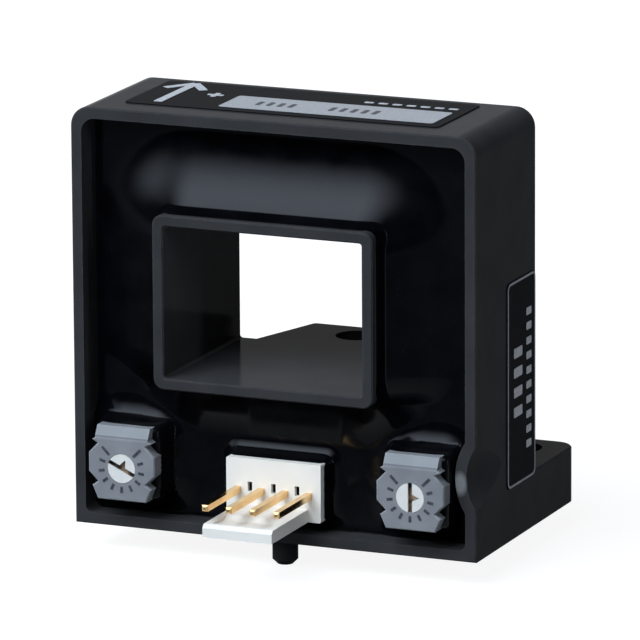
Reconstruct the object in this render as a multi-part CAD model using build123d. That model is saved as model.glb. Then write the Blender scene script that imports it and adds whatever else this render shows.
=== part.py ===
from build123d import *
from math import atan2, degrees
import os

# Open-loop current sensor: a moulded case with a rectangular tunnel for the conductor,
# a gapped core round the tunnel, a small circuit board behind the connector and the two
# trimmers, and black resin cast over all of it from the open front.
# Millimetres. X is to the right, Y goes back from the open front, Z is up.
# The origin is the axis of the locating peg, in the mounting face.

# Case
case_width = 43.2
case_height = 42.6
case_depth = 16.4
case_wall = 1.15
back_wall = 1.4
top_edge_radius = 2.0
back_edge_radius = 0.7
inner_corner_radius = 0.7
rim_chamfer = 0.15
peg_setback = 2.9              # peg axis behind the front rim

# Tunnel for the conductor
aperture_width = 21.2
aperture_height = 15.4
aperture_height_above_base = 16.35
tunnel_wall = 1.15
tunnel_corner_radius = 1.1
aperture_corner_radius = 0.3
lip_proud = 2.6                # tunnel end in front of the rim

# Foot behind the case, with two screw holes and cored out from below
foot_reach = 11.2
foot_height = 5.7
foot_corner_radius = 2.0
foot_edge_chamfer = 0.15
screw_hole_diameter = 4.4
screw_hole_from_side = 4.7
screw_hole_from_foot_rear = 3.8
core_out_rib = 2.0             # between two slots
core_out_margin = 1.1          # between the slots' ribs and the screw holes
core_out_length = 7.8
core_out_roof = 1.6
core_out_count = 5

# Lug level with the tunnel floor
lug_reach = 8.5
lug_root_width = 17.6
lug_tip_width = 12.0
lug_thickness = 3.2
lug_corner_radius = 0.5
lug_root_radius = 1.0
lug_hole_diameter = 4.2
lug_hole_setback = 5.0

# Locating peg under the case
peg_diameter = 2.6
peg_length = 2.8
peg_end_chamfer = 0.5

# Shallow finger scallop in the right wall, tapering out towards the back
scallop_height_above_base = 8.5
scallop_chord = 6.5
scallop_depth = 1.05
scallop_reach = 6.5

# Cast resin: a level that climbs its neighbours in a hollow slope, up to a narrow crest
resin_depth = 2.6              # resin level behind the rim
tunnel_crest_width = 0.45
tunnel_climb = 3.95            # crest in front of the resin level
tunnel_slope_reach = 7.5       # width of the slope outside the crest
trimmer_crest_width = 0.15
trimmer_crest_corner = 1.6
trimmer_climb = 3.7
trimmer_slope_reach = 4.0
header_crest_width = 0.3
header_climb = 2.4
header_slope_reach = 3.2
slope_drops = (0.2, 0.45, 0.35)       # each flat's share of the climb, from the crest down
slope_runs = (0.06, 0.35, 0.59)       # and of the reach

# Gapped core round the tunnel
core_clearance = 0.35
core_share = 0.53              # of the room between tunnel and case
core_stack = 7.0
core_gap = 2.0

# Hall element in the gap, with three leads to the board
hall_thickness = 1.5
hall_height = 4.0
hall_length = 3.2
hall_inset = 0.3               # below the top of the core's lower leg
hall_chamfer = 0.3
lead_size = 0.4
lead_pitch = 1.27

# Circuit board
board_side_clearance = 0.35
board_top_clearance = 0.85     # below the tunnel
board_thickness = 1.6
board_above_base = 1.75
board_corner_radius = 0.6
board_hole_clearance = 0.06
lead_stub = 0.3

# Four-way pin header with a locking wall
header_pitch = 2.54
header_ways = 4
header_height = 5.9
header_base = 3.2
header_above_base = 2.43
header_pin_below_top = 3.2
header_edge_radius = 0.15
pin_size = 0.64
pin_reach = 8.3                # in front of the header's face
pin_tail = 1.3                 # behind the board
pin_point = 0.18
lock_width = 7.4
lock_reach = 9.1
lock_thickness = 1.3
lock_recess_depth = 0.35
lock_recess_length = 3.6
lock_recess_rim = 0.75
lock_lead_in = 0.5
slot_width = 0.5
slot_height = 1.0
slot_depth = 1.2
slot_above_pins = 0.35

# Trimmers, one on each side of the header
trimmer_wall_gap = 1.38
trimmer_above_base = 6.6
trimmer_half_width = 3.57
trimmer_shoulder = 2.85
trimmer_waist = 2.6
trimmer_top = 4.15             # from the rotor's axis, as the next seven
trimmer_upper_notch_top = 2.75
trimmer_upper_notch = 2.4
trimmer_barrel_top = 1.4
trimmer_barrel_bottom = 0.55
trimmer_lower_notch = 1.5
trimmer_lower_notch_bottom = 1.95
trimmer_bottom = 3.3
trimmer_bevel_height = 1.15
trimmer_bevel_depth = 0.65
trimmer_chamfer = 0.12
trimmer_front_proud = 2.2      # trimmer face in front of the rim
trimmer_face_thickness = 1.5
trimmer_chamber_depth = 1.9
rotor_diameter = 2.95
rotor_flange_diameter = 4.3
rotor_flange_thickness = 0.95
rotor_clearance = 0.05
rotor_slot_width = 0.45
rotor_slot_depth = 0.55
pointer_length = 1.0
pointer_width = 0.9
offset_pointer_angle = 65.0    # seen from the front, anticlockwise from the right
gain_pointer_angle = 0.0
wiper_radius = 1.7
wiper_thickness = 0.15
wiper_arm_width = 0.5
wiper_contact_gap = 0.04
element_diameter = 5.5
element_thickness = 0.8
terminal_size = 0.5
terminal_offset = 1.27
terminal_tail = 1.1

# Surface-mount parts on the back of the board
chip_length = 4.9
chip_width = 3.9
chip_height = 1.5
chip_standoff = 0.1
chip_leg_width = 0.42
chip_leg_reach = 1.0
chip_leg_thickness = 0.2
chip_leg_pitch = 1.27
regulator_width = 4.5
regulator_depth = 2.5
regulator_height = 1.5
regulator_leg_pitch = 1.5
passive_length = 2.0
passive_width = 1.25
resistor_height = 0.55
capacitor_height = 1.1
diode_length = 4.3
diode_width = 2.6
diode_height = 2.0
chip_below_board_top = 3.9
passive_above_board_edge = 1.9
resistor_count = 4
capacitor_count = 3
diode_from_board_side = 3.3
diode_below_board_top = 1.6

# Labels
label_thickness = 0.12
top_label_left_margin = 4.4
top_label_right_margin = 5.2
top_label_depth = 11.4
top_label_setback = 3.1
label_corner_radius = 0.6
side_label_depth = 7.5
side_label_height = 20.9
side_label_setback = 8.1
side_label_above_base = 5.4

# Planes that several pieces share
rim_y = -peg_setback
back_y = rim_y + case_depth
inner_back_y = back_y - back_wall
foot_rear_y = back_y + foot_reach
lip_y = rim_y - lip_proud
header_face_y = rim_y
board_front_y = header_face_y + header_base
board_back_y = board_front_y + board_thickness
trimmer_face_y = rim_y - trimmer_front_proud
resin_y = rim_y + resin_depth
aperture_middle_z = aperture_height_above_base + aperture_height / 2
tunnel_width = aperture_width + 2 * tunnel_wall
tunnel_height = aperture_height + 2 * tunnel_wall
tunnel_bottom_z = aperture_height_above_base - tunnel_wall
header_width = header_pitch * header_ways
header_middle_z = header_above_base + header_height / 2
pin_z = header_above_base + header_height - header_pin_below_top
tunnel_top_z = aperture_height_above_base + aperture_height + tunnel_wall
core_front_y = inner_back_y - core_stack
core_leg = core_share * (case_width / 2 - case_wall - tunnel_width / 2)
core_top_leg = core_share * (case_height - case_wall - tunnel_top_z)
hall_z = tunnel_bottom_z - core_clearance - hall_inset - hall_height / 2
hall_front_y = inner_back_y - core_stack / 2 - hall_length / 2
board_bottom_z = board_above_base
board_top_z = tunnel_bottom_z - board_top_clearance
board_width = case_width - 2 * case_wall - 2 * board_side_clearance
screw_hole_span = case_width - 2 * screw_hole_from_side
screw_hole_y = foot_rear_y - screw_hole_from_foot_rear
core_out_room = screw_hole_span - screw_hole_diameter - 2 * core_out_margin
core_out_pitch = core_out_room / core_out_count
trimmer_span = case_width - 2 * (case_wall + trimmer_wall_gap + trimmer_half_width)
header_pins_end = (header_width - header_pitch + pin_size) / 2
terminals_start = (trimmer_span - terminal_size) / 2 - terminal_offset
chip_offset = (header_pins_end + terminals_start) / 2
passive_pitch = (terminals_start - header_pins_end) / (resistor_count + 0.5)
diode_offset = board_width / 2 - diode_from_board_side
rotor_stack_y = trimmer_face_y + trimmer_face_thickness + rotor_clearance
element_y = trimmer_face_y + trimmer_face_thickness + trimmer_chamber_depth
wiper_y = rotor_stack_y + rotor_flange_thickness


def along_y(section, front, back):
    """Prism whose XZ section is the sketch, from y = front to y = back."""
    return extrude(Plane.XZ.offset(-back) * section, amount=back - front)


def along_z(section, bottom, top):
    """Prism whose XY section is the sketch, from z = bottom to z = top."""
    return extrude(Plane.XY.offset(bottom) * section, amount=top - bottom)


def block(x, y, z):
    """Box from three (low, high) pairs."""
    size = [high - low for low, high in (x, y, z)]
    middle = [(low + high) / 2 for low, high in (x, y, z)]
    return Pos(*middle) * Box(*size)


def rod_y(diameter, x, z, front, back):
    """Round rod along Y."""
    return along_y(Pos(x, z) * Circle(diameter / 2), front, back)


def rounded_top(width, height, bottom, radius):
    """Rectangle standing on z = bottom, with its two upper corners rounded."""
    shape = Pos(0, bottom + height / 2) * Rectangle(width, height)
    return fillet(shape.vertices().group_by(Axis.Y)[-1], radius)


def scallop_cone(grow):
    """Cone that dishes the right wall, deepest at the rim; grow adds to its radius."""
    radius = (scallop_chord ** 2 / 4 + scallop_depth ** 2) / (2 * scallop_depth)
    axis_x = case_width / 2 + radius - scallop_depth
    slope = scallop_depth / scallop_reach
    start = rim_y - 1.0
    length = scallop_reach + 1.0
    cone = Cone(radius + slope + grow, radius - scallop_depth + grow, length)
    middle_y = start + length / 2
    return Pos(axis_x, middle_y, scallop_height_above_base) * Rot(X=-90) * cone


def case_interior(front):
    """The space inside the case walls, from y = front to the back wall."""
    section = rounded_top(case_width - 2 * case_wall, case_height - 2 * case_wall,
                          case_wall, top_edge_radius - case_wall / 2)
    section = fillet(section.vertices().group_by(Axis.Y)[0], inner_corner_radius)
    return along_y(section, front, inner_back_y)


def tunnel_section(grow):
    """Rounded rectangle round the tunnel's outside; grow widens it on every side."""
    shape = RectangleRounded(tunnel_width + 2 * grow, tunnel_height + 2 * grow,
                             tunnel_corner_radius + grow)
    return Pos(0, aperture_middle_z) * shape


def aperture():
    """The clear way through the tunnel, past both ends."""
    shape = RectangleRounded(aperture_width, aperture_height, aperture_corner_radius)
    return along_y(Pos(0, aperture_middle_z) * shape, lip_y - 1, back_y + 1)


def foot():
    """Foot plate behind the case, with its rear corners rounded in plan."""
    shape = block((-case_width / 2, case_width / 2), (back_y - back_wall, foot_rear_y),
                  (0, foot_height))
    rear = shape.edges().filter_by(Axis.Z).group_by(Axis.Y)[-1]
    shape = fillet(rear, foot_corner_radius)
    top = shape.faces().sort_by(Axis.Z)[-1]
    rear_edges = [edge for edge in top.edges() if edge.center().Y > back_y]
    return chamfer(rear_edges, foot_edge_chamfer)


def foot_cut_outs():
    """Screw holes through the foot, and the slots that core it out from below."""
    cuts = []
    for side in (-1, 1):
        hole = Pos(side * screw_hole_span / 2, screw_hole_y) * Circle(screw_hole_diameter / 2)
        cuts.append(along_z(hole, -1, foot_height + 1))
    slot_y = (back_y + foot_rear_y) / 2
    slot_width = core_out_pitch - core_out_rib
    for index in range(core_out_count):
        x = (index - (core_out_count - 1) / 2) * core_out_pitch
        slot = Rectangle(slot_width, core_out_length)
        cuts.append(along_z(Pos(x, slot_y) * slot, -1, foot_height - core_out_roof))
    return cuts


def lug():
    """Tapered lug level with the tunnel floor, with its vertical hole."""
    root = lug_root_width / 2
    tip = lug_tip_width / 2
    tip_y = back_y + lug_reach
    inside = back_y - back_wall
    outline = make_face(Polyline((-root, inside), (-root, back_y), (-tip, tip_y), (tip, tip_y),
                                 (root, back_y), (root, inside), close=True))
    outline = fillet(outline.vertices().group_by(Axis.Y)[-1], lug_corner_radius)
    outline -= Pos(0, back_y + lug_hole_setback) * Circle(lug_hole_diameter / 2)
    top = aperture_height_above_base
    return along_z(outline, top - lug_thickness, top)


def peg():
    """Locating peg under the case, with a lead-in at its end."""
    shape = along_z(Circle(peg_diameter / 2), -peg_length, case_wall)
    end = shape.edges().sort_by(Axis.Z)[0]
    return chamfer(end, peg_end_chamfer)


def housing():
    """Case, tunnel, foot, lug and peg, moulded in one piece."""
    body = along_y(rounded_top(case_width, case_height, 0, top_edge_radius), rim_y, back_y)
    back_face = body.faces().sort_by(Axis.Y)[-1]
    back_edges = [edge for edge in back_face.edges() if edge.center().Z > foot_height / 2]
    body = fillet(back_edges, back_edge_radius)
    body = chamfer(body.faces().sort_by(Axis.Y)[0].edges(), rim_chamfer)
    scallop = scallop_cone(0)
    body -= case_interior(rim_y - 1)
    liner = scallop_cone(case_wall) & case_interior(rim_y)
    body = (body + liner) - scallop
    body += foot()
    body += lug()
    root = body.edges().filter_by(Axis.X).filter_by_position(Axis.Y, back_y - 0.01, back_y + 0.01)
    under_lug = [edge for edge in root
                 if abs(edge.center().Z - (aperture_height_above_base - lug_thickness)) < 0.01]
    body = fillet(under_lug, lug_root_radius)
    body += along_y(tunnel_section(0), lip_y, back_y)
    body -= aperture()
    body = chamfer(body.faces().sort_by(Axis.Y)[0].edges(), rim_chamfer)
    body += peg()
    for cut in foot_cut_outs():
        body -= cut
    return body


def core():
    """Rectangular ring of stacked steel round the tunnel, with a gap in its lower leg."""
    half = tunnel_width / 2 + core_clearance + core_leg
    bottom = tunnel_bottom_z - core_clearance - core_leg
    top = tunnel_top_z + core_clearance + core_top_leg
    ring = block((-half, half), (core_front_y, inner_back_y), (bottom, top))
    ring = fillet(ring.edges().filter_by(Axis.Y), tunnel_corner_radius)
    ring -= along_y(tunnel_section(core_clearance), core_front_y - 1, inner_back_y + 1)
    return ring - block((-core_gap / 2, core_gap / 2), (core_front_y - 1, inner_back_y + 1),
                        (bottom - 1, tunnel_bottom_z))


def hall_element():
    """Moulded package of the Hall element, standing in the core's gap."""
    shape = block((-hall_thickness / 2, hall_thickness / 2),
                  (hall_front_y, hall_front_y + hall_length),
                  (hall_z - hall_height / 2, hall_z + hall_height / 2))
    edges = shape.edges().filter_by(Axis.Y).sort_by(Axis.X)[:2]
    return chamfer(edges, hall_chamfer)


def hall_lead(index):
    """One straight lead from the Hall element through the board."""
    z = hall_z + (index - 1) * lead_pitch
    half = lead_size / 2
    return block((-half, half), (board_front_y - lead_stub, hall_front_y), (z - half, z + half))


def pin_positions():
    """X of each header pin."""
    first = -(header_ways - 1) * header_pitch / 2
    return [first + index * header_pitch for index in range(header_ways)]


def terminal_positions(x):
    """The (x, z) of a trimmer's three terminals."""
    low = trimmer_above_base - terminal_offset
    high = trimmer_above_base + terminal_offset
    return [(x - terminal_offset, low), (x, high), (x + terminal_offset, low)]


def board_blank():
    """Circuit board without its holes."""
    section = Pos(0, (board_bottom_z + board_top_z) / 2) * RectangleRounded(
        board_width, board_top_z - board_bottom_z, board_corner_radius)
    return along_y(section, board_front_y, board_back_y)


def board():
    """Circuit board, drilled for the header, the trimmers and the Hall leads."""
    shape = board_blank() - scallop_cone(case_wall + board_hole_clearance)
    front = board_front_y - 1
    back = board_back_y + 1
    gap = 2 * board_hole_clearance
    for x in pin_positions():
        shape -= rod_y(pin_size * 2 ** 0.5 + gap, x, pin_z, front, back)
    for x in (-trimmer_span / 2, trimmer_span / 2):
        for tx, tz in terminal_positions(x):
            shape -= rod_y(terminal_size * 2 ** 0.5 + gap, tx, tz, front, back)
    for index in range(3):
        z = hall_z + (index - 1) * lead_pitch
        shape -= rod_y(lead_size * 2 ** 0.5 + gap, 0, z, front, back)
    return shape


def header_lock():
    """Locking wall in front of the header, with the bevelled recess behind its tip."""
    front = header_face_y - lock_reach
    bottom = header_above_base
    top = bottom + lock_thickness
    half = lock_width / 2
    wall = block((-half, half), (front, header_face_y + lock_lead_in), (bottom, top))
    tip = wall.edges().filter_by(Axis.X).group_by(Axis.Y)[0].sort_by(Axis.Z)[-1]
    wall = chamfer(tip, 0.35)
    rim = lock_recess_rim
    recess_front = front + rim
    recess_back = recess_front + lock_recess_length
    floor = top - lock_recess_depth
    section = make_face(Polyline((recess_front, top + 1), (recess_front, floor),
                                 (recess_back - rim, floor), (recess_back, top),
                                 (recess_back, top + 1), close=True))
    recess = extrude(Plane.YZ.offset(-half + rim) * section, amount=lock_width - 2 * rim)
    return wall - recess


def header_block():
    """The header's base block without its pin holes and slots."""
    half = header_width / 2
    top = header_above_base + header_height
    base = block((-half, half), (header_face_y, board_front_y), (header_above_base, top))
    return fillet(base.edges().filter_by(Axis.Y), header_edge_radius)


def header():
    """White header: base block, locking wall, pin holes and the three slots."""
    base = header_block() + header_lock()
    pin = pin_size / 2
    for x in pin_positions():
        base -= block((x - pin, x + pin), (header_face_y - 1, board_front_y + 1),
                      (pin_z - pin, pin_z + pin))
    slot_z = pin_z + slot_above_pins
    for left, right in zip(pin_positions(), pin_positions()[1:]):
        x = (left + right) / 2
        base -= block((x - slot_width / 2, x + slot_width / 2),
                      (header_face_y - 1, header_face_y + slot_depth),
                      (slot_z - slot_height / 2, slot_z + slot_height / 2))
    return base


def header_pin(x):
    """Square pin with pointed ends, through the header and the board."""
    half = pin_size / 2
    shape = block((x - half, x + half), (header_face_y - pin_reach, board_back_y + pin_tail),
                  (pin_z - half, pin_z + half))
    ends = shape.faces().sort_by(Axis.Y)
    return chamfer(ends[0].edges() + ends[-1].edges(), pin_point)


def trimmer_outline(x):
    """Section of a trimmer: a block with a V-notch above and below its waist, each side."""
    wide = trimmer_half_width
    nub = (trimmer_shoulder + wide) / 2
    right = [(trimmer_shoulder, trimmer_top), (trimmer_shoulder, trimmer_top - trimmer_bevel_height),
             (nub, trimmer_upper_notch_top), (trimmer_waist, trimmer_upper_notch),
             (wide, trimmer_barrel_top), (wide, -trimmer_barrel_bottom),
             (trimmer_waist, -trimmer_lower_notch), (nub, -trimmer_lower_notch_bottom),
             (trimmer_waist, -trimmer_bottom)]
    left = [(-px, pz) for px, pz in reversed(right)]
    outline = make_face(Polyline(*right, *left, close=True))
    return Pos(x, trimmer_above_base) * outline


def trimmer_prism(x):
    """A trimmer's whole outer form, with the bevel along its upper edge."""
    shape = along_y(trimmer_outline(x), trimmer_face_y, board_front_y)
    top = trimmer_above_base + trimmer_top
    wedge = make_face(Polyline((trimmer_face_y, top - trimmer_bevel_height),
                               (trimmer_face_y + trimmer_bevel_depth, top),
                               (trimmer_face_y, top), close=True))
    width = 2 * trimmer_half_width
    shape -= extrude(Plane.YZ.offset(x - width / 2) * wedge, amount=width)
    front = shape.faces().sort_by(Axis.Y)[0]
    return chamfer(front.edges(), trimmer_chamfer)


def trimmer_body(x):
    """Trimmer body: a bore for the rotor, a chamber behind it and a seat for the element."""
    z = trimmer_above_base
    shape = trimmer_prism(x)
    shape -= rod_y(rotor_diameter + 2 * rotor_clearance, x, z, trimmer_face_y - 1, element_y)
    shape -= rod_y(rotor_flange_diameter + 2 * rotor_clearance, x, z,
                   trimmer_face_y + trimmer_face_thickness, element_y)
    shape -= rod_y(element_diameter, x, z, element_y, board_front_y + 1)
    return shape


def trimmer_rotor(x, pointer_angle):
    """White rotor with a full screwdriver slot and a small pointer beside it."""
    shape = rod_y(rotor_diameter, 0, 0, trimmer_face_y, wiper_y)
    shape += rod_y(rotor_flange_diameter, 0, 0, rotor_stack_y, wiper_y)
    slot = Rectangle(rotor_slot_width, rotor_diameter * 2)
    pointer = make_face(Polyline((0, -pointer_width / 2), (pointer_length, 0),
                                 (0, pointer_width / 2), close=True))
    mark = (slot & Circle(rotor_diameter)) + pointer
    shape -= along_y(mark, trimmer_face_y - 1, trimmer_face_y + rotor_slot_depth)
    return Pos(x, 0, trimmer_above_base) * Rot(Y=-pointer_angle) * shape


def trimmer_wiper(x, pointer_angle):
    """Spring wiper behind the rotor: a disc with one arm that reaches the element."""
    disc = rod_y(2 * wiper_radius, 0, 0, wiper_y, wiper_y + wiper_thickness)
    half = wiper_arm_width / 2
    arm = block((wiper_radius - 2 * half, wiper_radius - 0.1), (wiper_y, element_y - wiper_contact_gap),
                (-half, half))
    shape = Rot(Y=90) * (disc + arm)
    return Pos(x, 0, trimmer_above_base) * Rot(Y=-pointer_angle) * shape


def trimmer_element(x):
    """Ceramic disc that carries the resistive track."""
    return rod_y(element_diameter, x, trimmer_above_base, element_y, element_y + element_thickness)


def trimmer_base(x):
    """Plug that closes the trimmer's back and holds its terminals."""
    shape = rod_y(element_diameter, x, trimmer_above_base, element_y + element_thickness, board_front_y)
    for terminal in trimmer_terminals(x):
        shape -= terminal
    return shape


def trimmer_terminals(x):
    """The three square terminals, from the element through the board."""
    half = terminal_size / 2
    span = (element_y + element_thickness, board_back_y + terminal_tail)
    return [block((tx - half, tx + half), span, (tz - half, tz + half))
            for tx, tz in terminal_positions(x)]


def chip_row(x, z, count, pitch, reach, height):
    """Gull-wing legs of a chip whose body is 2 * reach tall, on its lower and upper side."""
    legs = []
    for index in range(count):
        leg_x = x + (index - (count - 1) / 2) * pitch
        across = (leg_x - chip_leg_width / 2, leg_x + chip_leg_width / 2)
        for side in (-1, 1):
            inner = z + side * reach
            outer = inner + side * chip_leg_reach
            span = (min(inner, outer), max(inner, outer))
            legs.append(block(across, (board_back_y, board_back_y + chip_leg_thickness), span))
            knee = inner + side * chip_leg_thickness
            drop = (min(inner, knee), max(inner, knee))
            legs.append(block(across, (board_back_y, board_back_y + height / 2), drop))
    return legs


def small_chip(x, z, width, depth, height, legs, pitch):
    """Moulded chip on the back of the board, with a row of legs along each long side."""
    body = block((x - width / 2, x + width / 2),
                 (board_back_y + chip_standoff, board_back_y + chip_standoff + height),
                 (z - depth / 2, z + depth / 2))
    body = chamfer(body.faces().sort_by(Axis.Y)[-1].edges(), chip_standoff)
    for leg in chip_row(x, z, legs, pitch, depth / 2, height):
        body += leg
    return body


def passive(x, z, height):
    """Resistor or capacitor standing on the back of the board."""
    return block((x - passive_width / 2, x + passive_width / 2),
                 (board_back_y, board_back_y + height),
                 (z - passive_length / 2, z + passive_length / 2))


def diode(x, z):
    """Moulded protection diode with a terminal at each end."""
    half = diode_length / 2
    body = block((x - half, x + half), (board_back_y, board_back_y + diode_height),
                 (z - diode_width / 2, z + diode_width / 2))
    body = chamfer(body.faces().sort_by(Axis.Y)[-1].edges(), 2 * chip_standoff)
    for side in (-1, 1):
        inner = x + side * half
        outer = inner + side * chip_leg_reach / 2
        body += block((min(inner, outer), max(inner, outer)),
                      (board_back_y, board_back_y + 2 * chip_leg_thickness),
                      (z - diode_width / 4, z + diode_width / 4))
    return body


def hollow_slope(section, climb, reach):
    """Resin that climbs to a crest of this section, in flats that get steeper to the front."""
    front = resin_y - climb
    shape = along_y(section(0), front, resin_y + 1)
    past_crest = 0.0
    for drop_share, run_share in zip(slope_drops, slope_runs):
        drop = drop_share * climb
        run = run_share * reach
        front += drop
        past_crest += run
        foot = section(past_crest)
        shape += extrude(Plane.XZ.offset(-front) * foot, amount=drop, taper=degrees(atan2(run, drop)))
        shape += along_y(foot, front, resin_y + 1)
    return shape


def trimmer_crest(x):
    """Section of the crest round a trimmer, as a function of how far it is grown."""
    middle_z = trimmer_above_base + (trimmer_top - trimmer_bottom) / 2

    def section(grow):
        edge = trimmer_crest_width + grow
        return Pos(x, middle_z) * RectangleRounded(
            2 * (trimmer_half_width + edge), trimmer_top + trimmer_bottom + 2 * edge,
            trimmer_crest_corner + grow)

    return section


def header_crest(grow):
    """Section of the crest round the header."""
    edge = header_crest_width + grow
    return Pos(0, header_middle_z) * RectangleRounded(
        header_width + 2 * edge, header_height + 2 * edge, edge)


def tunnel_crest(grow):
    """Section of the crest round the tunnel."""
    return tunnel_section(tunnel_crest_width + grow)


def resin(held):
    """Cast resin that fills the case from the front, with a pocket for all that it holds."""
    shape = case_interior(resin_y)
    climbs = hollow_slope(tunnel_crest, tunnel_climb, tunnel_slope_reach)
    climbs += hollow_slope(header_crest, header_climb, header_slope_reach)
    for side in (-1, 1):
        crest = trimmer_crest(side * trimmer_span / 2)
        climbs += hollow_slope(crest, trimmer_climb, trimmer_slope_reach)
    shape += climbs & case_interior(lip_y)
    shape -= scallop_cone(case_wall)
    shape -= along_y(tunnel_section(0), lip_y - 1, back_y + 1)
    for solid in held:
        shape -= solid
    return shape


def top_label():
    """Film label on the top of the case."""
    y = rim_y + top_label_setback + top_label_depth / 2
    x = (top_label_left_margin - top_label_right_margin) / 2
    width = case_width - top_label_left_margin - top_label_right_margin
    section = Pos(x, y) * RectangleRounded(width, top_label_depth, label_corner_radius)
    return along_z(section, case_height, case_height + label_thickness)


def side_label():
    """Film label on the right wall."""
    y = rim_y + side_label_setback + side_label_depth / 2
    z = side_label_above_base + side_label_height / 2
    section = Pos(y, z) * RectangleRounded(side_label_depth, side_label_height, label_corner_radius)
    return extrude(Plane.YZ.offset(case_width / 2) * section, amount=label_thickness)


def trimmer_nodes(name, x, pointer_angle):
    """Every piece of one trimmer, by node name."""
    nodes = {
        f"{name}_trimmer_body": trimmer_body(x),
        f"{name}_trimmer_rotor": trimmer_rotor(x, pointer_angle),
        f"{name}_trimmer_wiper": trimmer_wiper(x, pointer_angle),
        f"{name}_trimmer_element": trimmer_element(x),
        f"{name}_trimmer_base": trimmer_base(x),
    }
    for index, terminal in enumerate(trimmer_terminals(x), start=1):
        nodes[f"{name}_trimmer_terminal_{index}"] = terminal
    return nodes


def board_nodes():
    """The surface-mount parts, by node name."""
    chip_z = board_top_z - chip_below_board_top
    passive_z = board_bottom_z + passive_above_board_edge
    nodes = {
        "amplifier_chip": small_chip(-chip_offset, chip_z, chip_length, chip_width,
                                     chip_height, 4, chip_leg_pitch),
        "voltage_regulator": small_chip(chip_offset, chip_z, regulator_width, regulator_depth,
                                        regulator_height, 3, regulator_leg_pitch),
        "protection_diode": diode(diode_offset, board_top_z - diode_below_board_top),
    }
    for index in range(resistor_count):
        x = -chip_offset + (index - (resistor_count - 1) / 2) * passive_pitch
        nodes[f"resistor_{index + 1}"] = passive(x, passive_z, resistor_height)
    for index in range(capacitor_count):
        x = chip_offset + (index - (capacitor_count - 1) / 2) * passive_pitch
        nodes[f"capacitor_{index + 1}"] = passive(x, passive_z, capacitor_height)
    return nodes


def all_nodes():
    """Every node of the sensor."""
    held = {"magnetic_core": core(), "hall_element": hall_element()}
    for index in range(3):
        held[f"hall_lead_{index + 1}"] = hall_lead(index)
    held.update(board_nodes())
    held["connector_body"] = header()
    for index, x in enumerate(pin_positions(), start=1):
        held[f"connector_pin_{index}"] = header_pin(x)
    trimmers = {}
    trimmers.update(trimmer_nodes("offset", -trimmer_span / 2, offset_pointer_angle))
    trimmers.update(trimmer_nodes("gain", trimmer_span / 2, gain_pointer_angle))
    pockets = list(held.values()) + [board_blank(), header_block()]
    pockets += [trimmer_prism(side * trimmer_span / 2) for side in (-1, 1)]
    pockets += [solid for name, solid in trimmers.items() if "terminal" in name]
    nodes = {"housing": housing(), "potting_resin": resin(pockets), "circuit_board": board()}
    nodes.update(held)
    nodes.update(trimmers)
    nodes["top_label"] = top_label()
    nodes["side_label"] = side_label()
    return nodes


os.makedirs("parts", exist_ok=True)
for name, solid in all_nodes().items():
    solid.label = name
    export_step(solid, f"parts/{name}.step")
    print(name, round(solid.volume, 2))
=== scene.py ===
# %% [markdown]
# # A current sensor set in black resin
# The solids of the sensor come in as a fixed frame, at their real size. This lesson gives every
# one of them its finish and adds what is too soft or too thin for a solid: the surface of the
# cast resin, the print on the labels and the scales on the trimmers. The script works in metres,
# so real sizes are written in millimetres and multiplied by MM.

# %% Load the frame
from math import cos, exp, hypot, log, pi, radians, sin

import bpy
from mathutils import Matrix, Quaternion, Vector


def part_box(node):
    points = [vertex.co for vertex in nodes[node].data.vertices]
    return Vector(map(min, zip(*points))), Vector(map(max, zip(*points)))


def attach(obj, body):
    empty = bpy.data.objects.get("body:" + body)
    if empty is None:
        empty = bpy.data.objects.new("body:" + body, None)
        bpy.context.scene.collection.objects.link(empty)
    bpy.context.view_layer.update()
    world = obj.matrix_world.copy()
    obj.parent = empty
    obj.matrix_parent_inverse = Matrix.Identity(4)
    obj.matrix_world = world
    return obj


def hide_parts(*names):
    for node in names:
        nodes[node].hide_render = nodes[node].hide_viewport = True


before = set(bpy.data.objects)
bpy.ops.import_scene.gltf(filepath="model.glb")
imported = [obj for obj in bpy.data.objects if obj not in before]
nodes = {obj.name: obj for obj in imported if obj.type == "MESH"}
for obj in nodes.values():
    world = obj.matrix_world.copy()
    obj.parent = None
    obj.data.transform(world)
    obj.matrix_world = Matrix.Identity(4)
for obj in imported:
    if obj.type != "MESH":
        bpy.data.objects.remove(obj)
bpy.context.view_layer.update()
MM = 0.001
print(len(nodes), "nodes from the frame")

# %% [markdown]
# ## Places that several steps share
# Most places can be read from the boxes of the solids. The tunnel's front end is the foremost
# plane of the housing, and the rim of the case lies 2.6 mm behind it.

# %% Read the shared places
case_low, case_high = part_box("housing")
lip_y = case_low.y
rim_y = lip_y + 2.6 * MM
peg_tip_z = case_low.z
label_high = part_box("top_label")[1]
side_low, side_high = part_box("side_label")
print("rim at y", round(rim_y / MM, 2), "mm, lip at", round(lip_y / MM, 2), "mm")

# %% [markdown]
# ## The camera
# The photograph was taken from far away with a long lens, so parallel edges stay almost parallel.
# A camera that aims at a point in the middle of the sensor is easy to adjust: two angles, one
# distance, one lens and a small roll are all that it needs. A short lens from close by could show
# the same faces, but their edges would run together too fast.

# %% Place the camera
view_middle = Vector((1.47, 5.7, 20.9)) * MM
view_azimuth = 22.99
view_elevation = 13.33
view_distance = 768.6 * MM
view_roll = radians(-0.334)
lens_length = 434.8
sensor_width = 36.0


def direction(azimuth, elevation):
    """Unit vector from the sensor at an azimuth to the right of its front and an elevation."""
    turned, raised = radians(azimuth), radians(elevation)
    return Vector((sin(turned) * cos(raised), -cos(turned) * cos(raised), sin(raised)))


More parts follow.
